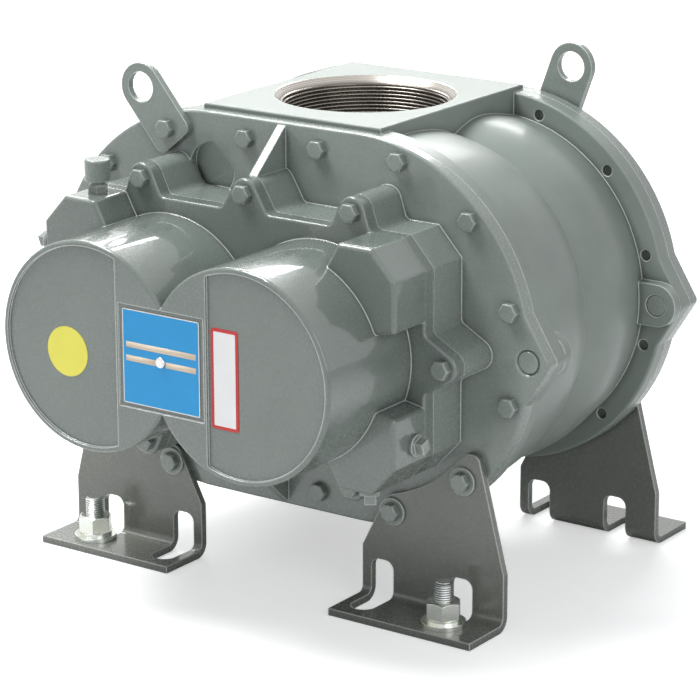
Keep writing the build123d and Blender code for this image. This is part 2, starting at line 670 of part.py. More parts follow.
with BuildPart() as bearing_clamps:
    with BuildSketch(face_at(-GEAR_BRG_Y1)):
        for s in (-1, 1):
            with Locations((s * HALF_C, 0)):
                Circle(57)
                Circle(36, mode=Mode.SUBTRACT)
                with PolarLocations(SCREW_CIRCLE_R - 0.5, 4, start_angle=45):
                    Circle(3.3, mode=Mode.SUBTRACT)
    extrude(amount=5)
finish(bearing_clamps, "bearing_clamp_rings")

with BuildPart() as clamp_screws:
    for y, r, t in ((-GEAR_BRG_Y1 - 5, 5.0, 4.0), (-GEAR_BRG_Y1 + 12, 3.0, 17.0)):
        with BuildSketch(face_at(y)):
            for s in (-1, 1):
                with Locations((s * HALF_C, 0)):
                    with PolarLocations(SCREW_CIRCLE_R - 0.5, 4, start_angle=45):
                        Circle(r)
        extrude(amount=t)
finish(clamp_screws, "bearing_clamp_screws")

# Drive end covers: one with a seal for the drive shaft, one blind.
for name, side in (("drive_shaft_cover", 1), ("blind_bearing_cover", -1)):
    with BuildPart() as end_cover:
        with BuildSketch(face_at(DRIVE_BOSS_Y + END_COVER_T)):
            with Locations((side * HALF_C, 0)):
                Circle(DRIVE_BOSS_R)
        extrude(amount=END_COVER_T)
        fillet(end_cover.edges().group_by(Axis.Y)[-1], radius=3)
        with BuildSketch(face_at(DRIVE_BOSS_Y)):
            with Locations((side * HALF_C, 0)):
                Circle(BRG_OUTER_R - 0.02)
                Circle(37.9, mode=Mode.SUBTRACT)
        extrude(amount=DRIVE_BOSS_Y - DRIVE_BRG_Y1)
        if side > 0:
            with BuildSketch(face_at(DRIVE_BOSS_Y + END_COVER_T + 8)):
                with Locations((side * HALF_C, 0)):
                    Circle(34)
            extrude(amount=8)
            with BuildSketch(face_at(DRIVE_BOSS_Y + END_COVER_T + 8)):
                with Locations((side * HALF_C, 0)):
                    Circle(26)
            extrude(amount=10, mode=Mode.SUBTRACT)
            with BuildSketch(face_at(DRIVE_BOSS_Y + END_COVER_T)):
                with Locations((side * HALF_C, 0)):
                    Circle(DRIVE_R + 1)
            extrude(amount=END_COVER_T, mode=Mode.SUBTRACT)
        with BuildSketch(face_at(DRIVE_BOSS_Y + END_COVER_T)):
            with Locations((side * HALF_C, 0)):
                with PolarLocations(SCREW_CIRCLE_R, 6):
                    Circle(4.5)
        extrude(amount=END_COVER_T, mode=Mode.SUBTRACT)
    finish(end_cover, name)

with BuildPart() as drive_seal:
    with BuildSketch(face_at(DRIVE_BOSS_Y + END_COVER_T + 7)):
        with Locations((HALF_C, 0)):
            Circle(26)
            Circle(DRIVE_R + 0.05, mode=Mode.SUBTRACT)
    extrude(amount=9)
finish(drive_seal, "drive_shaft_seal")

with BuildPart() as end_cover_bolts:
    with BuildSketch(face_at(DRIVE_BOSS_Y + END_COVER_T)):
        for s in (-1, 1):
            with Locations((s * HALF_C, 0)):
                with PolarLocations(SCREW_CIRCLE_R, 6):
                    Circle(4.0)
    extrude(amount=END_COVER_T + 14)
    with BuildSketch(face_at(DRIVE_BOSS_Y + END_COVER_T + 5.3)):
        for s in (-1, 1):
            with Locations((s * HALF_C, 0)):
                with PolarLocations(SCREW_CIRCLE_R, 6):
                    hexagon(13)
    extrude(amount=5.3)
finish(end_cover_bolts, "end_cover_bolts")


def hex_bolts(spots, seat_y, af, head, shank_d, shank_to, outward):
    """Hex-head bolts along Y; outward is -1 when the heads face the gear end, 1 the drive end."""
    with BuildPart() as rounds:
        with BuildSketch(face_at(seat_y if outward < 0 else seat_y + head)):
            with Locations(*spots):
                Circle(af * 0.575)
        extrude(amount=head)
        outer = rounds.edges().group_by(Axis.Y)[0 if outward < 0 else -1]
        chamfer(outer, length=af * 0.06, length2=af * 0.10)
    with BuildPart() as bolts:
        with BuildSketch(face_at(seat_y if outward < 0 else seat_y + head)):
            with Locations(*spots):
                hexagon(af)
        extrude(amount=head)
        add(rounds.part, mode=Mode.INTERSECT)
        with BuildSketch(face_at(shank_to if outward < 0 else seat_y)):
            with Locations(*spots):
                Circle(shank_d / 2)
        extrude(amount=abs(seat_y - shank_to))
    return bolts.part


PLAIN_FRONT = [ring_point(BOLT_CIRCLE_R, a, s) for s in (-1, 1) for a in BOLT_ANGLES
               if a not in (-45, -75) and not (s < 0 and a == 75)]
PLAIN_REAR = [(-x, z) for x, z in PLAIN_FRONT]
FOOT_SPOTS = [ring_point(BOLT_CIRCLE_R, a, s) for s in (-1, 1) for a in (-45, -75)]
FRONT_LUG_SPOT = ring_point(BOLT_CIRCLE_R, 75, -1)
REAR_LUG_SPOT = ring_point(BOLT_CIRCLE_R, 75, 1)
THREAD_IN = HALF_L - FLANGE_T + THREAD_STOP

with BuildPart() as head_bolts:
    add(hex_bolts(PLAIN_FRONT, -PLATE_Y, BOLT_AF, BOLT_HEAD, BOLT_D, -THREAD_IN, -1))
    add(hex_bolts(PLAIN_REAR, PLATE_Y, BOLT_AF, BOLT_HEAD, BOLT_D, THREAD_IN, 1))
finish(head_bolts, "head_plate_bolts")

FOOT_SEAT_Y = PLATE_Y + FOOT_T + WASHER_T
with BuildPart() as foot_bolts:
    add(hex_bolts(FOOT_SPOTS, -FOOT_SEAT_Y, BOLT_AF, BOLT_HEAD, BOLT_D, -THREAD_IN, -1))
    add(hex_bolts(FOOT_SPOTS, FOOT_SEAT_Y, BOLT_AF, BOLT_HEAD, BOLT_D, THREAD_IN, 1))
finish(foot_bolts, "foot_bolts")

with BuildPart() as foot_washers:
    for y in (-PLATE_Y - FOOT_T, FOOT_SEAT_Y):
        with BuildSketch(face_at(y)):
            with Locations(*FOOT_SPOTS):
                Circle(WASHER_R)
                Circle(BOLT_D / 2 + 0.3, mode=Mode.SUBTRACT)
        extrude(amount=WASHER_T)
finish(foot_washers, "foot_bolt_washers")

with BuildPart() as lug_bolts:
    add(hex_bolts([FRONT_LUG_SPOT], -PLATE_Y - LUG_T, BOLT_AF, BOLT_HEAD, BOLT_D, -THREAD_IN, -1))
    add(hex_bolts([REAR_LUG_SPOT], PLATE_Y + LUG_T, BOLT_AF, BOLT_HEAD, BOLT_D, THREAD_IN, 1))
finish(lug_bolts, "lifting_lug_bolts")

with BuildPart() as cover_bolts:
    add(hex_bolts(COVER_BOLTS, -COVER_FACE_Y, COVER_BOLT_AF, COVER_BOLT_HEAD, COVER_BOLT_D, -WALL_Y + 22, -1))
finish(cover_bolts, "gear_cover_bolts")

with BuildPart() as dowels:
    dowel_l = PLATE_T + FLANGE_T + DOWEL_BOSS_L - 2 * DOWEL_SINK
    for y in (-HALF_L + FLANGE_T + DOWEL_BOSS_L - DOWEL_SINK, PLATE_Y - DOWEL_SINK):
        with BuildSketch(face_at(y)):
            with Locations((HALF_C + DOWEL_OFFSET, 0), (-HALF_C - DOWEL_OFFSET, 0)):
                Circle(DOWEL_R)
        extrude(amount=dowel_l)
    chamfer(dowels.edges(), length=1.0)
finish(dowels, "dowel_pins")


# Feet: bent plate, two open slots each, mirrored to the four corners.
wall = face_at(-PLATE_Y - FOOT_T)
arc_mid = ring_point(138.0, -54, 1)
arc_a = ring_point(138.0, -76.2, 1)
arc_b = ring_point(138.0, -37.5, 1)
with BuildPart() as foot:
    with BuildSketch(Plane(origin=(FOOT_X0, 0, 0), x_dir=(0, 1, 0), z_dir=(1, 0, 0))):
        with BuildLine():
            Polyline((-PLATE_Y, 160), (-PLATE_Y, FOOT_T + BEND_R))
            RadiusArc((-PLATE_Y, FOOT_T + BEND_R), (-PLATE_Y - FOOT_T - BEND_R, 0), FOOT_T + BEND_R)
            Polyline((-PLATE_Y - FOOT_T - BEND_R, 0), (-FOOT_END_Y, 0), (-FOOT_END_Y, FOOT_T),
                     (-PLATE_Y - FOOT_T - BEND_R, FOOT_T))
            RadiusArc((-PLATE_Y - FOOT_T - BEND_R, FOOT_T), (-PLATE_Y - FOOT_T, FOOT_T + BEND_R), -BEND_R)
            Polyline((-PLATE_Y - FOOT_T, FOOT_T + BEND_R), (-PLATE_Y - FOOT_T, 160), (-PLATE_Y, 160))
        make_face()
    extrude(amount=FOOT_X1 - FOOT_X0)
    with BuildSketch(face_at(-PLATE_Y + 5)) as outline:
        with BuildLine():
            Polyline(arc_a, (FOOT_X0, FOOT_KINK_Z - SHAFT_Z), (FOOT_X0, -SHAFT_Z), (FOOT_X1, -SHAFT_Z),
                     (FOOT_X1, FOOT_KINK_Z - SHAFT_Z), (198.5, 146 - SHAFT_Z), arc_b)
            ThreePointArc(arc_b, arc_mid, arc_a)
        make_face()
        fillet(outline.vertices().sort_by(Axis.Y)[-3:], radius=7)
    extrude(amount=FOOT_END_Y, mode=Mode.INTERSECT)
    for x in SLOT_X:
        with BuildSketch(face_at(-PLATE_Y + 5)) as slot_up:
            with Locations((x, (SLOT_TOP_Z - 5) / 2 - SHAFT_Z)):
                RectangleRounded(SLOT_W, SLOT_TOP_Z + 5, 8)
        extrude(amount=FOOT_T + BEND_R + 5, mode=Mode.SUBTRACT)
        with BuildSketch(Plane.XY.offset(-1)):
            with Locations((x, -SLOT_END_Y + SLOT_W / 2)):
                Circle(SLOT_W / 2)
            with Locations((x, (-SLOT_END_Y + SLOT_W / 2 - PLATE_Y + 5) / 2)):
                Rectangle(SLOT_W, SLOT_END_Y - SLOT_W / 2 - PLATE_Y + 5)
        extrude(amount=20, mode=Mode.SUBTRACT)
    with BuildSketch(wall.offset(-FOOT_T)):
        with Locations(*[ring_point(BOLT_CIRCLE_R, a, 1) for a in (-45, -75)]):
            Circle(BOLT_D / 2 + 0.6)
    extrude(amount=FOOT_T, mode=Mode.SUBTRACT)
finish(foot, "foot_front_right")
for name, planes in (("foot_front_left", (Plane.YZ,)), ("foot_rear_right", (Plane.XZ,)),
                     ("foot_rear_left", (Plane.YZ, Plane.XZ))):
    copy_of_foot = foot.part
    for plane in planes:
        copy_of_foot = mirror(copy_of_foot, about=plane)
    copy_of_foot.label = name
    export_step(copy_of_foot, "parts/" + name + ".step")

# Anchor hardware in the outer slots of the two front feet.
STUD_SPOTS = ((SLOT_X[1], -STUD_Y), (-SLOT_X[1], -STUD_Y))
with BuildPart() as anchor_studs:
    with BuildSketch(Plane.XY):
        with Locations(*STUD_SPOTS):
            Circle(STUD_R)
    extrude(amount=STUD_TOP)
    chamfer(anchor_studs.edges().group_by(Axis.Z)[-1], length=1.5)
finish(anchor_studs, "anchor_studs")

with BuildPart() as anchor_washers:
    with BuildSketch(Plane.XY.offset(FOOT_T)):
        with Locations(*STUD_SPOTS):
            Circle(18.5)
            Circle(STUD_R + 0.5, mode=Mode.SUBTRACT)
    extrude(amount=4)
    with BuildSketch(Plane.XY.offset(FOOT_T + 4)):
        with Locations(*STUD_SPOTS):
            Circle(14.5)
            Circle(STUD_R + 0.5, mode=Mode.SUBTRACT)
    extrude(amount=3)
finish(anchor_washers, "anchor_washers")

with BuildPart() as anchor_nuts:
    with BuildSketch(Plane.XY.offset(FOOT_T + 7)):
        with Locations(*STUD_SPOTS):
            Circle(NUT_AF * 0.575)
    extrude(amount=NUT_H)
    chamfer(anchor_nuts.edges().group_by(Axis.Z)[-1], length=NUT_AF * 0.06, length2=NUT_AF * 0.1)
    with BuildSketch(Plane.XY.offset(FOOT_T + 7)):
        with Locations(*STUD_SPOTS):
            hexagon(NUT_AF)
            Circle(STUD_R, mode=Mode.SUBTRACT)
    extrude(amount=NUT_H, mode=Mode.INTERSECT)
finish(anchor_nuts, "anchor_nuts")


# Lifting lugs: flat straps, one on each head plate at opposite corners.
def lug_plate(spot, lean, y_front):
    a = math.radians(lean)
    along = (-math.sin(a), math.cos(a))
    eye = (spot[0] + LUG_REACH * along[0], spot[1] + LUG_REACH * along[1])
    base = (spot[0] - 15 * along[0], spot[1] - 15 * along[1])
    across = (along[1] * LUG_R, -along[0] * LUG_R)
    with BuildPart() as lug:
        with BuildSketch(face_at(y_front + LUG_T)):
            corners = [(end[0] + s * across[0], end[1] + s * across[1])
                       for end, s in ((base, 1), (eye, 1), (eye, -1), (base, -1))]
            strap = Polygon(*corners, align=None)
            fillet(strap.vertices().sort_by(Axis.Y)[:2], radius=LUG_CORNER_R)
            with Locations(eye):
                Circle(LUG_R)
                Circle(LUG_EYE_R, mode=Mode.SUBTRACT)
            with Locations(spot):
                Circle(BOLT_D / 2 + 0.5, mode=Mode.SUBTRACT)
        extrude(amount=LUG_T)
    return lug.part


with BuildPart() as front_lug:
    add(lug_plate(FRONT_LUG_SPOT, 40, -PLATE_Y - LUG_T))
finish(front_lug, "lifting_lug_front")

with BuildPart() as rear_lug:
    add(lug_plate(REAR_LUG_SPOT, -20, PLATE_Y))
finish(rear_lug, "lifting_lug_rear")

# Breather, pipe plugs, nameplate and labels on the gear cover.
BREATHER_X = -139.0
BREATHER_Y = -COVER_FACE_Y - 16.7
with BuildPart() as breather_fitting:
    with BuildSketch(Plane.XY.offset(SHAFT_Z + CASE_Z)):
        with Locations((BREATHER_X, BREATHER_Y)):
            hexagon(15)
    extrude(amount=7)
    with BuildSketch(Plane.XY.offset(SHAFT_Z + CASE_Z + 7)):
        with Locations((BREATHER_X, BREATHER_Y)):
            Circle(6.5)
    extrude(amount=6)
finish(breather_fitting, "breather_fitting")

with BuildPart() as breather_cap:
    with BuildSketch(Plane.XY.offset(SHAFT_Z + CASE_Z + 11)):
        with Locations((BREATHER_X, BREATHER_Y)):
            Circle(11)
    extrude(amount=18)
    fillet(breather_cap.edges().group_by(Axis.Z)[-1], radius=2)
    with BuildSketch(Plane.XY.offset(SHAFT_Z + CASE_Z + 11)):
        with Locations((BREATHER_X, BREATHER_Y)):
            Circle(9.5)
    extrude(amount=2, mode=Mode.SUBTRACT)
finish(breather_cap, "breather_cap")

with BuildPart() as pipe_plugs:
    for s, y, z in ((1, -COVER_FACE_Y - 13.2, -62), (-1, -BLOCK_Y + 10, 58)):
        with BuildSketch(side_at(s * CASE_X)):
            with Locations((y, z)):
                Circle(9)
        extrude(amount=s * 3)
        with BuildSketch(side_at(s * (CASE_X + 3))):
            with Locations((y, z)):
                Rectangle(9.5, 9.5, rotation=20)
        extrude(amount=s * 8)
    for x in (-146, 146):
        with BuildSketch(Plane.XY.offset(SHAFT_Z - CASE_Z)):
            with Locations((x, -BLOCK_Y + 12)):
                Circle(9)
        extrude(amount=-3)
        with BuildSketch(Plane.XY.offset(SHAFT_Z - CASE_Z - 3)):
            with Locations((x, -BLOCK_Y + 12)):
                Rectangle(9.5, 9.5, rotation=35)
        extrude(amount=-8)
finish(pipe_plugs, "pipe_plugs")

with BuildPart() as name_plate:
    with BuildSketch(face_at(-COVER_FRONT_Y + 1.5)):
        RectangleRounded(2 * PLATE_HALF_X, 2 * PLATE_HALF_Z, 1.5)
        Circle(2.4, mode=Mode.SUBTRACT)
    extrude(amount=1)
finish(name_plate, "name_plate")

with BuildPart() as plate_screw:
    with BuildSketch(face_at(-COVER_FRONT_Y + 7)):
        Circle(2)
    extrude(amount=6.5)
    with BuildSketch(face_at(-COVER_FRONT_Y + 0.5)):
        Circle(4.6)
    extrude(amount=2.4)
    fillet(plate_screw.edges().group_by(Axis.Y)[0], radius=1.6)
finish(plate_screw, "name_plate_screw")

with BuildPart() as round_label:
    with BuildSketch(face_at(-COVER_FRONT_Y + 2.5)):
        with Locations((-98, -7.5)):
            Circle(21)
    extrude(amount=0.4)
finish(round_label, "round_label")

with BuildPart() as bordered_label:
    with BuildSketch(face_at(-COVER_FRONT_Y + 2.5)):
        with Locations((62.3, -4.3)):
            RectangleRounded(26.6, 82.4, 2.5)
    extrude(amount=0.4)
finish(bordered_label, "bordered_label")
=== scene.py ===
"""Looks of the rotary lobe vacuum pump: materials, thread crests, plate print, camera and studio."""
import json
import math

import bmesh
import bpy
from mathutils import Euler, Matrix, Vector

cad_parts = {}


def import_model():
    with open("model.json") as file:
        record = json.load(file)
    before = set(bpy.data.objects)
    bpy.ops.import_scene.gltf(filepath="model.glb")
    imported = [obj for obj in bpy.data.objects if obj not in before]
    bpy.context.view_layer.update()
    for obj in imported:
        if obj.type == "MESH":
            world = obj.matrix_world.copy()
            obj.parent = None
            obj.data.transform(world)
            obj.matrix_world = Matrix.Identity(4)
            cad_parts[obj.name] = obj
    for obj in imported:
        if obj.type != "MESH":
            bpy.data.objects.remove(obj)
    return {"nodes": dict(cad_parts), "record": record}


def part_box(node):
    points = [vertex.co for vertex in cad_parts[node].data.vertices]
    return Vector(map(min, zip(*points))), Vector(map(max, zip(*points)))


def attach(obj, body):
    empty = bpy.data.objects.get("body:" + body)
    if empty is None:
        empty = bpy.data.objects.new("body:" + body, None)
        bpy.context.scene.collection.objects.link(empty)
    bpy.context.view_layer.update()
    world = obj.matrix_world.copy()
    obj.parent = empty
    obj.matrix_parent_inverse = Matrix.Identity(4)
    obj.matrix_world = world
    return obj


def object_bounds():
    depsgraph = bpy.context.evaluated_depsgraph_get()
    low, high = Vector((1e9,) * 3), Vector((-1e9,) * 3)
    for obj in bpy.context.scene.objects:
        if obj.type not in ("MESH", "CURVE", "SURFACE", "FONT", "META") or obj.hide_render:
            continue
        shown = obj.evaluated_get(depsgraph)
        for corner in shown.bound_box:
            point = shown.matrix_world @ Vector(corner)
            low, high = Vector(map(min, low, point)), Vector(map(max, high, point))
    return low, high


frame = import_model()
nodes = frame["nodes"]
cad_low, cad_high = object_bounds()

MM = 0.001

# Camera: where it stands, how it is turned in degrees, and its lens.
CAMERA_PLACE = (1.4711, -2.1169, 0.9328)
CAMERA_AZIMUTH = 35.453
CAMERA_ELEVATION = 16.458
CAMERA_ROLL = -0.229
CAMERA_LENS_MM = 158.77
CAMERA_SENSOR_MM = 36.0
CAMERA_SHIFT = (0.0259, 0.0001)
CAMERA_CLIP_END = 50.0

# Paint and metal colours, linear.
ENAMEL = (0.262, 0.302, 0.274)
ENAMEL_DARK = (0.222, 0.256, 0.232)
# The gear cover is the same enamel, given darker colours as painted shade.
SHADED_COVER_ENAMEL = (0.180, 0.213, 0.192)
SHADED_COVER_ENAMEL_DARK = (0.162, 0.192, 0.172)
FOOT_ENAMEL = (0.190, 0.202, 0.176)
FOOT_ENAMEL_DARK = (0.165, 0.175, 0.153)
PAINTED_EDGE_HIGHLIGHT = (0.82, 0.87, 0.84)
BARE_STEEL = (0.58, 0.55, 0.50)
# Painted shade inside the ports' bores.
BORE_PAINTED_SHADE = (0.20, 0.18, 0.16)
THREAD_STEEL = (0.36, 0.335, 0.30)
IRON = (0.30, 0.28, 0.26)
ZINC = (0.80, 0.84, 0.85)
ZINC_WARM = (0.76, 0.77, 0.66)
BRASS = (0.60, 0.42, 0.17)
RUBBER = (0.018, 0.018, 0.018)
GASKET = (0.030, 0.032, 0.030)
CHROME = (0.85, 0.85, 0.86)
PLATE_BLUE = (0.020, 0.345, 0.740)
PLATE_RIM = (0.80, 0.78, 0.74)
CREAM = (0.80, 0.66, 0.50)
LABEL_YELLOW = (0.90, 0.83, 0.10)
LABEL_WHITE = (0.92, 0.92, 0.92)
LABEL_RED = (0.62, 0.012, 0.012)

# Painted highlights along the paint's edges: their width and strength, and the cosines of the lean at which
# they start and are full.
EDGE_WIDTH_MM = 2.2
EDGE_STRENGTH = 0.85
EDGE_STARTS = 0.95
EDGE_FULL = 0.82
BEVEL_SAMPLES = 8

# Paint: its roughness, the rounding of its corners, and how far and how dark the painted shade in hollows is.
PAINT_ROUGH_LOW = 0.25
PAINT_ROUGH_HIGH = 0.29
PAINT_ROUND_MM = 1.8
HOLLOW_REACH = 9 * MM
HOLLOW_SAMPLES = 6
HOLLOW_PAINTED_SHADE = 0.50

# Ports: the radii where paint ends and bare iron begins, and the depths where the bore's painted shade starts
# and is full.
PORT_PAINT_R = 78.6 * MM
PORT_BARE_R = 78.2 * MM
PORT_DARK_STARTS = 3.5 * MM
PORT_DARK_FULL = 6.0 * MM

# The cylinder's paint is duller than the rest, and its bare iron has its own roughness.
CYLINDER_DULLER = 0.14
CYLINDER_COAT = 0.15
CYLINDER_COAT_ROUGH = 0.16
BARE_ROUGH = 0.27

# Half the width of a printed edge's soft line, and the bare rim of the blue plate.
SOFT_EDGE = 0.05 * MM
PLATE_RIM_WIDTH = 0.7 * MM

# Thread crests of the ports.
THREAD_PITCH = 3.175 * MM
THREAD_CREST = 1.3 * MM
THREAD_SEGMENTS = 160
THREAD_RUN_OUT_SEGMENTS = 40.0
THREAD_FIRST_TURN = 0.6
# Section of the crest: outwards from the port's wall in crest heights, and along the axis in pitches.
THREAD_SECTION = ((0.35, -0.46), (-1.1, -0.12), (-1.1, 0.12), (0.35, 0.46))
PORT_WALL_R = 70.65 * MM
PORT_DEPTH = 40.0 * MM
PORT_LEAD = 6.0 * MM
PORT_END_CLEAR = 2 * MM

# Cream bars of the blue plate: how far their tops lie below the plate's top, and the room left for the screw.
BAR_HALF_X = 35.2 * MM
BAR_HEIGHT = 4.8 * MM
BAR_T = 0.18 * MM
BAR_SEAT = 0.05 * MM
BAR_BEVEL = 0.06 * MM
UPPER_BAR_DROP = 26.9 * MM
LOWER_BAR_DROP = 38.2 * MM
SCREW_ROOM = 4.9 * MM

# Studio: floor, its glow near and far, the sky's light, and the name, place, size and watts of each soft box.
FLOOR_HALF = 8
FLOOR_GREY = (0.80, 0.80, 0.80)
FLOOR_ROUGH = 0.6
GLOW_STARTS = 0.8
GLOW_FULL = 2.2
GLOW_NEAR = 0.50
GLOW_FAR = 1.0
SKY_COLOUR = (0.93, 0.96, 1.0, 1.0)
SKY_STRENGTH = 0.40
WHITE = (1, 1, 1, 1)
SOFT_BOXES = (
    ("key_light", (-1.0, -0.6, 2.5), (1.3, 1.0), 70.0),
    ("fill_light", (1.9, -0.9, 1.0), (1.2, 1.2), 8.0),
    ("back_light", (-0.85, 1.2, 1.25), (1.4, 0.4), 17.0),
)


def toned(colour, factor):
    """A colour made lighter or darker by one factor."""
    return tuple(factor * c for c in colour)


# ---------------------------------------------------------------- shader helpers
class Shader:
    """One material's node tree, with short calls for the nodes used here."""

    def __init__(self, name):
        self.material = bpy.data.materials.new(name)
        self.material.use_nodes = True
        self.tree = self.material.node_tree
        self.tree.nodes.clear()
        self.out = self.tree.nodes.new("ShaderNodeOutputMaterial")
        self.surface = self.tree.nodes.new("ShaderNodeBsdfPrincipled")
        self.join(self.surface.outputs[0], self.out.inputs[0])
        self.place = self.tree.nodes.new("ShaderNodeTexCoord").outputs["Object"]

    def join(self, source, target):
        self.tree.links.new(source, target)

    def feed(self, socket, value):
        """Links a socket to another one or sets it; a colour of three values gets its alpha."""
        if isinstance(value, bpy.types.NodeSocket):
            self.join(value, socket)
            return
        if socket.type == "RGBA" and len(value) == 3:
            value = (*value, 1.0)
        socket.default_value = value

    def node(self, kind, inputs=None, **settings):
        made = self.tree.nodes.new(kind)
        for key, value in settings.items():
            setattr(made, key, value)
        for key, value in (inputs or {}).items():
            self.feed(made.inputs[key], value)
        return made

    def axes(self):
        """The x, y and z of the place on the object."""
        return self.node("ShaderNodeSeparateXYZ", {0: self.place}).outputs

    def noise(self, scale, detail=3.0, roughness=0.5):
        made = self.node("ShaderNodeTexNoise", {"Vector": self.place, "Scale": scale, "Detail": detail,
                                                "Roughness": roughness})
        return made.outputs["Fac"]

    def tool_bands(self, scale, distortion):
        """Fine bands stacked along the object's z, like tool marks."""
        made = self.node("ShaderNodeTexWave", {"Vector": self.place, "Scale": scale, "Distortion": distortion,
                                               "Detail": 2.0}, wave_type="BANDS", bands_direction="Z")
        return made.outputs["Fac"]

    def ramp(self, value, low, high, to_low=0.0, to_high=1.0):
        made = self.node("ShaderNodeMapRange", {"Value": value, "From Min": low, "From Max": high,
                                                "To Min": to_low, "To Max": to_high})
        return made.outputs["Result"]

    def math(self, operation, a, b=0.0):
        made = self.node("ShaderNodeMath", {0: a, 1: b}, operation=operation)
        return made.outputs[0]

    def away(self, value, centre):
        """How far a value lies from a centre, on either side."""
        return self.math("ABSOLUTE", self.math("SUBTRACT", value, centre))

    def length(self, a, b):
        """Length of the vector (a, b)."""
        squares = self.math("ADD", self.math("MULTIPLY", a, a), self.math("MULTIPLY", b, b))
        return self.math("SQRT", squares)

    def mix(self, amount, first, second, kind="RGBA"):
        """Blend of two colours, or of two numbers where kind is FLOAT."""
        made = self.node("ShaderNodeMix", data_type=kind)
        for key, value in (("Factor", amount), ("A", first), ("B", second)):
            self.feed(made.inputs[key], value)
        return made.outputs["Result"]

    def rounded(self, radius_mm):
        return self.node("ShaderNodeBevel", {"Radius": radius_mm * MM}, samples=BEVEL_SAMPLES).outputs[0]

    def edges(self):
        """Amount of painted edge highlight, from how far the rounded normal leans from the face's own."""
        face = self.node("ShaderNodeNewGeometry").outputs["Normal"]
        rounded = self.rounded(EDGE_WIDTH_MM)
        lean = self.node("ShaderNodeVectorMath", {0: rounded, 1: face}, operation="DOT_PRODUCT")
        return self.ramp(lean.outputs["Value"], EDGE_STARTS, EDGE_FULL, 0.0, EDGE_STRENGTH)

    def bump(self, height, strength, distance_mm, round_mm):
        """Normal with rounded corners and fine relief."""
        made = self.node("ShaderNodeBump", {"Height": height, "Strength": strength,
                                            "Distance": distance_mm * MM, "Normal": self.rounded(round_mm)})
        return made.outputs[0]

    def put(self, **sockets):
        for key, value in sockets.items():
            self.feed(self.surface.inputs[key.replace("_", " ")], value)
        return self.material

    def from_axis(self):
        """Distance from the upright line through the object's origin."""
        split = self.axes()
        return self.length(split[0], split[1])

    def height(self):
        return self.axes()[2]


def enamel_parts(shader, light, dark, cast):
    """Colour, roughness and normal of glossy enamel over cast iron; cast is how rough the casting is."""
    cloud = shader.noise(scale=14.0, detail=4.0, roughness=0.6)
    speck = shader.noise(scale=420.0, detail=3.0, roughness=0.6)
    tone = shader.mix(shader.ramp(cloud, 0.35, 0.70), dark, light)
    # Painted shade: the colour darkens in hollows, from ambient occlusion.
    hollow = shader.node("ShaderNodeAmbientOcclusion", {"Distance": HOLLOW_REACH}, samples=HOLLOW_SAMPLES)
    hollow_painted_shade = shader.ramp(hollow.outputs["AO"], 0.30, 0.85)
    tone = shader.mix(hollow_painted_shade, toned(dark, HOLLOW_PAINTED_SHADE), tone)
    # Painted highlight: the colour turns light along edges, convex and hollow alike.
    tone = shader.mix(shader.edges(), tone, PAINTED_EDGE_HIGHLIGHT)
    sheen = shader.ramp(speck, 0.3, 0.7, PAINT_ROUGH_LOW, PAINT_ROUGH_HIGH)
    waves = shader.noise(scale=34.0, detail=3.0, roughness=0.5)
    peel = shader.noise(scale=190.0, detail=3.0, roughness=0.5)
    casting = shader.math("MULTIPLY", waves, 1.5 * cast)
    skin = shader.math("MULTIPLY", peel, 0.2 * cast)
    grain = shader.math("ADD", casting, skin)
    normal = shader.bump(grain, 0.28, 0.7, PAINT_ROUND_MM)
    return tone, sheen, normal


def enamel(name, light, dark, cast, coat, coat_rough):
    """Glossy enamel under a clear coat."""
    shader = Shader(name)
    tone, sheen, normal = enamel_parts(shader, light, dark, cast)
    return shader.put(Base_Color=tone, Roughness=sheen, Normal=normal, Coat_Weight=coat,
                      Coat_Roughness=coat_rough, Coat_Normal=normal)


cylinder_low, cylinder_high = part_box("cylinder")
cylinder_middle = (cylinder_low + cylinder_high) / 2
port_face = cylinder_high.z - cylinder_middle.z


def cylinder_enamel(name):
    """Enamel outside, bare machined iron in the ports and bores, with painted shade deep in the bores."""
    shader = Shader(name)
    tone, sheen, normal = enamel_parts(shader, ENAMEL, ENAMEL_DARK, cast=1.0)
    bare = shader.ramp(shader.from_axis(), PORT_PAINT_R, PORT_BARE_R)
    metal_tone = shader.mix(shader.tool_bands(260.0, 0.4), toned(BARE_STEEL, 0.75), BARE_STEEL)
    from_shafts = shader.away(shader.height(), cylinder_middle.z)
    # Painted shade: the bare iron turns dark a few millimetres below the port's face.
    bore_shade_mask = shader.ramp(from_shafts, port_face - PORT_DARK_STARTS, port_face - PORT_DARK_FULL)
    metal_tone = shader.mix(bore_shade_mask, metal_tone, BORE_PAINTED_SHADE)
    colour = shader.mix(bare, tone, metal_tone)
    rough = shader.mix(bare, shader.math("ADD", sheen, CYLINDER_DULLER), BARE_ROUGH, "FLOAT")
    painted = shader.math("SUBTRACT", 1.0, bare)
    coat = shader.math("MULTIPLY", painted, CYLINDER_COAT)
    return shader.put(Base_Color=colour, Roughness=rough, Metallic=bare, Normal=normal, Coat_Weight=coat,
                      Coat_Roughness=CYLINDER_COAT_ROUGH, Coat_Normal=normal)


def metal(name, colour, second, rough, tool_marks=0.0, edge=0.5):
    """Machined or plated metal with fine scratches, and tool marks where their scale is set."""
    shader = Shader(name)
    patch = shader.noise(scale=60.0, detail=4.0, roughness=0.6)
    tone = shader.mix(shader.ramp(patch, 0.35, 0.7), second, colour)
    scratch = shader.noise(scale=900.0, detail=4.0, roughness=0.7)
    grain = scratch
    if tool_marks:
        grain = shader.math("ADD", scratch, shader.tool_bands(tool_marks, 0.6))
    normal = shader.bump(grain, 0.25, 0.12, edge)
    sheen = shader.ramp(scratch, 0.25, 0.75, rough - 0.06, rough + 0.10)
    return shader.put(Base_Color=tone, Metallic=1.0, Roughness=sheen, Normal=normal)


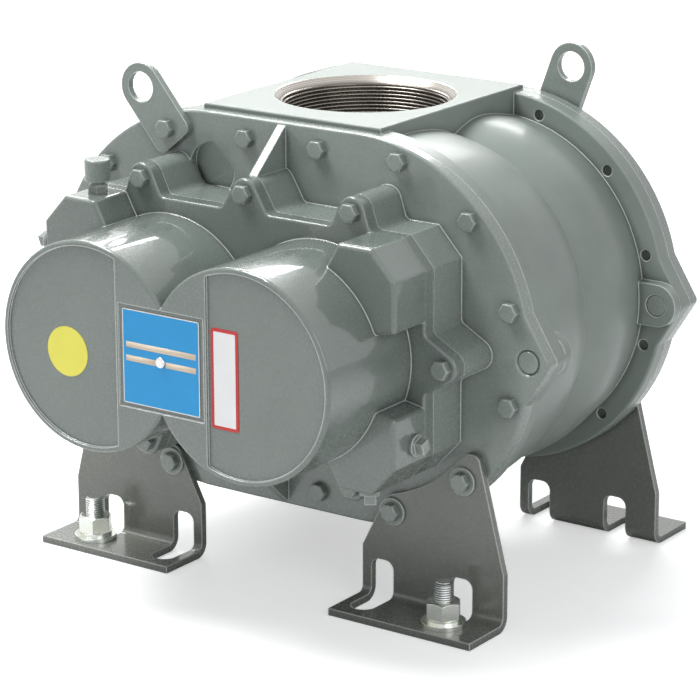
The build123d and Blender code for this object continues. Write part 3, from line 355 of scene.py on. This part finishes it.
def threaded(name, colour, second, pitch_mm):
    """Plated metal with the ridges of an upright screw thread, and painted shade in its roots."""
    shader = Shader(name)
    turns = shader.math("SINE", shader.math("MULTIPLY", shader.height(), 2 * math.pi / (pitch_mm * MM)))
    # Painted shade: the colour darkens in the thread's roots.
    tone = shader.mix(shader.ramp(turns, -1.0, -0.2), toned(second, 0.35), colour)
    normal = shader.bump(turns, 0.8, 0.5, 0.5)
    return shader.put(Base_Color=tone, Metallic=1.0, Roughness=0.24, Normal=normal)


def soft(name, colour, second, rough, grain_scale, depth_mm):
    """Rubber or fibre: matte, with a fine grain."""
    shader = Shader(name)
    grain = shader.noise(grain_scale, detail=4.0, roughness=0.6)
    tone = shader.mix(grain, second, colour)
    normal = shader.bump(grain, 0.4, depth_mm, 0.4)
    return shader.put(Base_Color=tone, Roughness=rough, Normal=normal)


def within(shader, value, low, high):
    """1 between low and high, inside the bare rim of the plate, else 0."""
    half = (high - low) / 2 - PLATE_RIM_WIDTH
    return shader.ramp(shader.away(value, (low + high) / 2), half + SOFT_EDGE, half - SOFT_EDGE)


def plate_print(name, box):
    """Blue anodised plate with a bare rim; the brushing runs across."""
    low, high = box
    shader = Shader(name)
    split = shader.axes()
    inside_x = within(shader, split[0], low.x, high.x)
    inside_z = within(shader, split[2], low.z, high.z)
    inside = shader.math("MULTIPLY", inside_x, inside_z)
    stretch = shader.node("ShaderNodeMapping", {"Vector": shader.place, "Scale": (30.0, 900.0, 900.0)})
    brush = shader.node("ShaderNodeTexNoise", {"Vector": stretch.outputs[0], "Scale": 1.6, "Detail": 3.0})
    blue = shader.mix(brush.outputs["Fac"], toned(PLATE_BLUE, 0.88), PLATE_BLUE)
    colour = shader.mix(inside, PLATE_RIM, blue)
    metallic = shader.mix(inside, 0.9, 0.12, "FLOAT")
    normal = shader.bump(brush.outputs["Fac"], 0.2, 0.05, 0.3)
    return shader.put(Base_Color=colour, Metallic=metallic, Roughness=0.36, Normal=normal)


def past_corner(shader, value, low, high, border, corner):
    """How far a value lies past the straight part of one side of a border with round corners."""
    straight = (high - low) / 2 - border - corner
    past = shader.math("SUBTRACT", shader.away(value, (low + high) / 2), straight)
    return shader.math("MAXIMUM", past, 0.0)


def border_line(shader, box, border, corner):
    """1 on the border along a label's edge, 0 on the field inside it."""
    low, high = box
    split = shader.axes()
    past_x = past_corner(shader, split[0], low.x, high.x, border, corner)
    past_z = past_corner(shader, split[2], low.z, high.z, border, corner)
    return shader.ramp(shader.length(past_x, past_z), corner - SOFT_EDGE, corner + SOFT_EDGE)


def vinyl(name, colour, box=None, border_colour=None, border_mm=0.0, corner_mm=0.0):
    """Vinyl label, with a printed border along its edge where border_colour is set."""
    shader = Shader(name)
    cloud = shader.noise(scale=40.0, detail=2.0, roughness=0.5)
    tone = shader.mix(cloud, toned(colour, 0.94), colour)
    if border_colour is not None:
        tone = shader.mix(border_line(shader, box, border_mm * MM, corner_mm * MM), tone, border_colour)
    ripple = shader.noise(scale=120.0, detail=2.0, roughness=0.5)
    normal = shader.bump(ripple, 0.15, 0.15, 0.25)
    return shader.put(Base_Color=tone, Roughness=0.30, Normal=normal, Coat_Weight=0.3, Coat_Roughness=0.12)


# ---------------------------------------------------------------- materials of the CAD nodes
materials = {
    "enamel": enamel("enamel", ENAMEL, ENAMEL_DARK, cast=0.8, coat=0.6, coat_rough=0.08),
    "enamel_feet": enamel("enamel_feet", FOOT_ENAMEL, FOOT_ENAMEL_DARK, cast=0.35, coat=0.5,
                          coat_rough=0.10),
    "cast_iron": metal("machined_iron", IRON, toned(IRON, 0.7), 0.38, tool_marks=300.0),
    "machined_steel": metal("machined_steel", BARE_STEEL, toned(BARE_STEEL, 0.8), 0.28, tool_marks=500.0),
    "zinc_hardware": metal("zinc_plate", ZINC, ZINC_WARM, 0.20),
    "brass_cage": metal("brass", BRASS, toned(BRASS, 0.8), 0.30),
    "seal_rubber": soft("seal_rubber", RUBBER, toned(RUBBER, 1.8), 0.6, grain_scale=300.0, depth_mm=0.1),
    "gasket": soft("gasket_fibre", GASKET, toned(GASKET, 1.6), 0.8, grain_scale=500.0, depth_mm=0.1),
    "chrome_screw": metal("bright_chrome", CHROME, toned(CHROME, 0.92), 0.10, edge=0.4),
    "blue_plate": plate_print("blue_plate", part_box("name_plate")),
    "yellow_label": vinyl("yellow_vinyl", LABEL_YELLOW),
    "white_label": vinyl("white_vinyl", LABEL_WHITE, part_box("bordered_label"), LABEL_RED,
                         border_mm=2.7, corner_mm=0.8),
}
cylinder_paint = cylinder_enamel("cylinder_enamel")
# Painted shade: the cover's enamel is darker than the same paint on the other parts.
cover_paint = enamel("shaded_cover_enamel", SHADED_COVER_ENAMEL, SHADED_COVER_ENAMEL_DARK, cast=0.45, coat=1.0,
                     coat_rough=0.045)


def dress(obj, material):
    """Gives an object one material on all its faces."""
    obj.data.materials.clear()
    obj.data.materials.append(material)


for part in frame["record"]["subparts"]:
    dress(nodes[part["node"]], materials[part["material_slot"]])
dress(nodes["cylinder"], cylinder_paint)
dress(nodes["gear_cover"], cover_paint)
dress(nodes["anchor_studs"], threaded("stud_thread", ZINC, ZINC_WARM, pitch_mm=2.0))


# ---------------------------------------------------------------- pieces made here
def new_piece(name, mesh_maker, material, body="housing"):
    """Makes a mesh piece from a function that fills a bmesh."""
    mesh = bpy.data.meshes.new(name)
    obj = bpy.data.objects.new(name, mesh)
    bpy.context.scene.collection.objects.link(obj)
    work = bmesh.new()
    mesh_maker(work)
    bmesh.ops.recalc_face_normals(work, faces=work.faces)
    work.to_mesh(mesh)
    work.free()
    for face in mesh.polygons:
        face.use_smooth = True
    mesh.materials.append(material)
    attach(obj, body)


def thread_maker(mouth_z, inward):
    """Helical thread crest inside a port; inward is -1 going down from the top mouth, 1 going up."""
    last = int((PORT_DEPTH - PORT_END_CLEAR) / THREAD_PITCH) * THREAD_SEGMENTS

    def section(work, i):
        """The crest's section at one step of the helix; its peak fades out at both ends."""
        angle = 2 * math.pi * i / THREAD_SEGMENTS
        rise = PORT_LEAD + THREAD_PITCH * (THREAD_FIRST_TURN + i / THREAD_SEGMENTS)
        taper = min(1.0, i / THREAD_RUN_OUT_SEGMENTS, (last - i) / THREAD_RUN_OUT_SEGMENTS)
        ring = []
        for out, along in THREAD_SECTION:
            r = PORT_WALL_R + out * THREAD_CREST * (1.0 if out > 0 else taper)
            z = mouth_z + inward * (rise + along * THREAD_PITCH)
            ring.append(work.verts.new((r * math.cos(angle), r * math.sin(angle), z)))
        return ring

    def fill(work):
        rings = [section(work, i) for i in range(last + 1)]
        count = len(THREAD_SECTION)
        for first, second in zip(rings, rings[1:]):
            for k in range(count):
                work.faces.new((first[k], first[(k + 1) % count], second[(k + 1) % count], second[k]))
        work.faces.new(rings[0])
        work.faces.new(list(reversed(rings[-1])))
    return fill


thread_metal = metal("thread_metal", THREAD_STEEL, toned(THREAD_STEEL, 0.7), 0.24, edge=0.2)
new_piece("top_port_thread", thread_maker(cylinder_high.z, -1), thread_metal)
new_piece("bottom_port_thread", thread_maker(cylinder_low.z, 1), thread_metal)

# Two cream data bars on the blue plate.
plate_low, plate_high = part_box("name_plate")
cream = vinyl("cream_print", CREAM)


def bar_maker(top_drop, gap_half=0.0):
    """A raised printed bar; gap_half leaves room for the screw."""
    def fill(work):
        z1 = plate_high.z - top_drop
        z0 = z1 - BAR_HEIGHT
        middle = (plate_low.x + plate_high.x) / 2
        spans = ((-BAR_HALF_X, BAR_HALF_X),)
        if gap_half:
            spans = ((-BAR_HALF_X, -gap_half), (gap_half, BAR_HALF_X))
        for x0, x1 in spans:
            made = bmesh.ops.create_cube(work, size=1.0)
            for v in made["verts"]:
                v.co.x = middle + (x0 if v.co.x < 0 else x1)
                v.co.y = plate_low.y + (-BAR_T if v.co.y < 0 else BAR_SEAT)
                v.co.z = z0 if v.co.z < 0 else z1
        bmesh.ops.bevel(work, geom=list(work.edges), offset=BAR_BEVEL, segments=2, affect="EDGES")
    return fill


new_piece("plate_bar_upper", bar_maker(UPPER_BAR_DROP), cream)
new_piece("plate_bar_lower", bar_maker(LOWER_BAR_DROP, SCREW_ROOM), cream)


# ---------------------------------------------------------------- studio
def stage_floor():
    """Pale floor whose glow, seen by the camera alone, grows towards white away from the object."""
    far = FLOOR_HALF
    mesh = bpy.data.meshes.new("studio_floor")
    mesh.from_pydata([(-far, -far, 0), (far, -far, 0), (far, far, 0), (-far, far, 0)], [], [(0, 1, 2, 3)])
    floor = bpy.data.objects.new("studio_floor", mesh)
    bpy.context.scene.collection.objects.link(floor)
    shader = Shader("floor_white")
    shader.put(Base_Color=FLOOR_GREY, Roughness=FLOOR_ROUGH)
    rays = shader.node("ShaderNodeLightPath")
    strength = shader.ramp(shader.from_axis(), GLOW_STARTS, GLOW_FULL, GLOW_NEAR, GLOW_FAR)
    glow = shader.node("ShaderNodeEmission", {"Color": WHITE, "Strength": strength})
    plain = shader.surface.outputs[0]
    blend = shader.node("ShaderNodeAddShader", {0: plain, 1: glow.outputs[0]})
    seen = rays.outputs["Is Camera Ray"]
    choose = shader.node("ShaderNodeMixShader", {0: seen, 1: plain, 2: blend.outputs[0]})
    shader.join(choose.outputs[0], shader.out.inputs[0])
    mesh.materials.append(shader.material)


def background(tree, colour, strength):
    """One colour of the world at one strength."""
    made = tree.nodes.new("ShaderNodeBackground")
    made.inputs["Color"].default_value = colour
    made.inputs["Strength"].default_value = strength
    return made.outputs[0]


def world():
    """Soft grey light on the object; camera, glossy and transmission rays see the white studio."""
    made = bpy.data.worlds.new("studio")
    bpy.context.scene.world = made
    made.use_nodes = True
    tree = made.node_tree
    tree.nodes.clear()
    out = tree.nodes.new("ShaderNodeOutputWorld")
    soft_light = background(tree, SKY_COLOUR, SKY_STRENGTH)
    white = background(tree, WHITE, 1.0)
    rays = tree.nodes.new("ShaderNodeLightPath")
    mix = tree.nodes.new("ShaderNodeMixShader")
    seen = rays.outputs["Is Camera Ray"]
    for other in ("Is Glossy Ray", "Is Transmission Ray"):
        either = tree.nodes.new("ShaderNodeMath")
        either.operation = "MAXIMUM"
        tree.links.new(seen, either.inputs[0])
        tree.links.new(rays.outputs[other], either.inputs[1])
        seen = either.outputs[0]
    tree.links.new(seen, mix.inputs[0])
    tree.links.new(soft_light, mix.inputs[1])
    tree.links.new(white, mix.inputs[2])
    tree.links.new(mix.outputs[0], out.inputs[0])


def soft_box(name, place, aim, size, power):
    """A rectangular lamp that faces its aim."""
    lamp = bpy.data.lights.new(name, "AREA")
    lamp.shape = "RECTANGLE"
    lamp.size, lamp.size_y = size
    lamp.energy = power
    obj = bpy.data.objects.new(name, lamp)
    bpy.context.scene.collection.objects.link(obj)
    obj.location = place
    obj.rotation_euler = (Vector(aim) - Vector(place)).to_track_quat("-Z", "Y").to_euler()


def camera():
    """The camera, rolled about its own line of sight."""
    data = bpy.data.cameras.new("camera")
    data.sensor_width = CAMERA_SENSOR_MM
    data.lens = CAMERA_LENS_MM
    data.shift_x, data.shift_y = CAMERA_SHIFT
    data.clip_end = CAMERA_CLIP_END
    obj = bpy.data.objects.new("camera", data)
    bpy.context.scene.collection.objects.link(obj)
    obj.location = CAMERA_PLACE
    turn = Euler((math.radians(90 - CAMERA_ELEVATION), 0.0, math.radians(CAMERA_AZIMUTH)), "XYZ")
    roll = Euler((0, 0, math.radians(CAMERA_ROLL)))
    obj.rotation_mode = "QUATERNION"
    obj.rotation_quaternion = turn.to_quaternion() @ roll.to_quaternion()
    bpy.context.scene.camera = obj


bpy.context.scene.view_settings.view_transform = "Standard"
stage_floor()
world()
camera()
middle = (cad_low + cad_high) / 2
for box_name, box_place, box_size, watts in SOFT_BOXES:
    soft_box(box_name, box_place, middle, box_size, watts)
